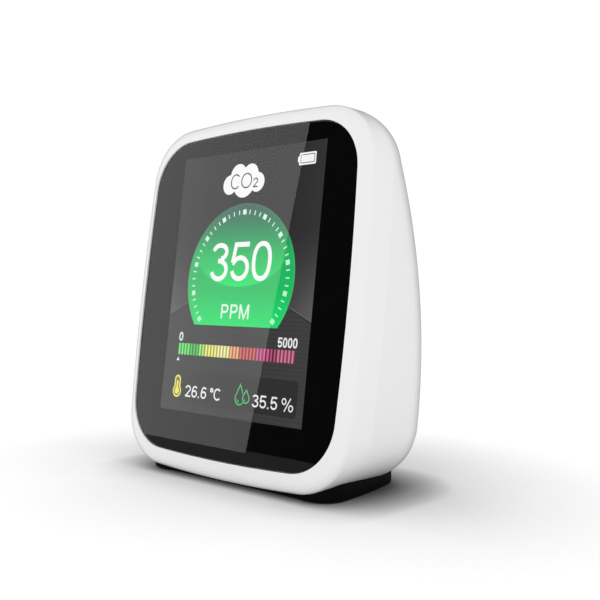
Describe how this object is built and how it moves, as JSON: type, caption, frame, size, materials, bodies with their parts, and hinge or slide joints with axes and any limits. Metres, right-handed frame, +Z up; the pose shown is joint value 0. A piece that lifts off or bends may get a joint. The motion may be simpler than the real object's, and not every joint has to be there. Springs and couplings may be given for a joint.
{
  "type": "desktop air quality monitor",
  "caption": "Small leaning desktop CO2 monitor: white two-piece casing on a black base, glass front over a colour display, vents, charging socket and push button at the back.",
  "frame": {"origin": "centre of the footprint on the table, under the rubber feet", "axes": "+Z up, the screen faces -Y and leans back 7.8 degrees, +X to the right of a person facing the screen"},
  "size_m": [0.0674, 0.0344, 0.0791],
  "materials": {
    "black_plastic": "fine texture",
    "battery_foil": "foil",
    "red_lead": "sleeved",
    "grey_foam": "open cell",
    "socket_cream": "moulded",
    "capacitor_tan": "ceramic",
    "screw_steel": "plated",
    "chip_black": "moulded",
    "frame_plastic": "moulded",
    "dust_cloth": "woven",
    "white_plastic": "satin moulded",
    "cover_glass": "polished",
    "black_tape": "printed border",
    "wire_mixed": "sleeved",
    "green_board": "solder mask",
    "display_surface": "polished",
    "ribbon_film": "film",
    "display_tray": "moulded",
    "button_plastic": "satin moulded",
    "coil_grey": "ferrite",
    "white_plastic_rear": "satin moulded",
    "black_rubber": "matt",
    "gold_chamber": "plated",
    "white_membrane": "matt",
    "gold_pins": "plated",
    "switch_steel": "pressed",
    "socket_steel": "plated"
  },
  "bodies": {
    "housing": {"base_plate": "black_plastic", "battery": "battery_foil", "battery_leads": "red_lead", "battery_pad": "grey_foam", "battery_plug": "socket_cream", "battery_socket": "socket_cream", "board_capacitors": "capacitor_tan", "board_screws": "screw_steel", "buzzer": "chip_black", "case_screws": "screw_steel", "charger_chip": "chip_black", "display_frame": "frame_plastic", "dust_sheet": "dust_cloth", "frame_screws": "screw_steel", "front_cover": "white_plastic", "front_glass": "cover_glass", "glass_tape": "black_tape", "harness_plugs": "socket_cream", "harness_sockets": "socket_cream", "harness_wires": "wire_mixed", "humidity_sensor": "chip_black", "io_board": "green_board", "io_screws": "screw_steel", "lcd_cell": "display_surface", "lcd_ribbon": "ribbon_film", "lcd_tray": "display_tray", "main_board": "green_board", "memory_chip": "chip_black", "power_coil": "coil_grey", "processor": "chip_black", "rear_cover": "white_plastic_rear", "ribbon_socket": "socket_cream", "rubber_feet": "black_rubber", "sensor_board": "green_board", "sensor_chamber": "gold_chamber", "sensor_duct": "grey_foam", "sensor_membrane": "white_membrane", "sensor_pins": "gold_pins", "sensor_strips": "chip_black", "switch_body": "switch_steel", "usb_shell": "socket_steel", "usb_tongue": "chip_black"},
    "button": {"power_button": "button_plastic", "switch_stem": "chip_black"}
  },
  "joints": [
    {"name": "button_press", "type": "slide", "parent": "housing", "child": "button", "axis": [0, -0.9907, 0.1357], "range_m": [0, 0.0005], "stiffness_N_per_m": 400}
  ]
}
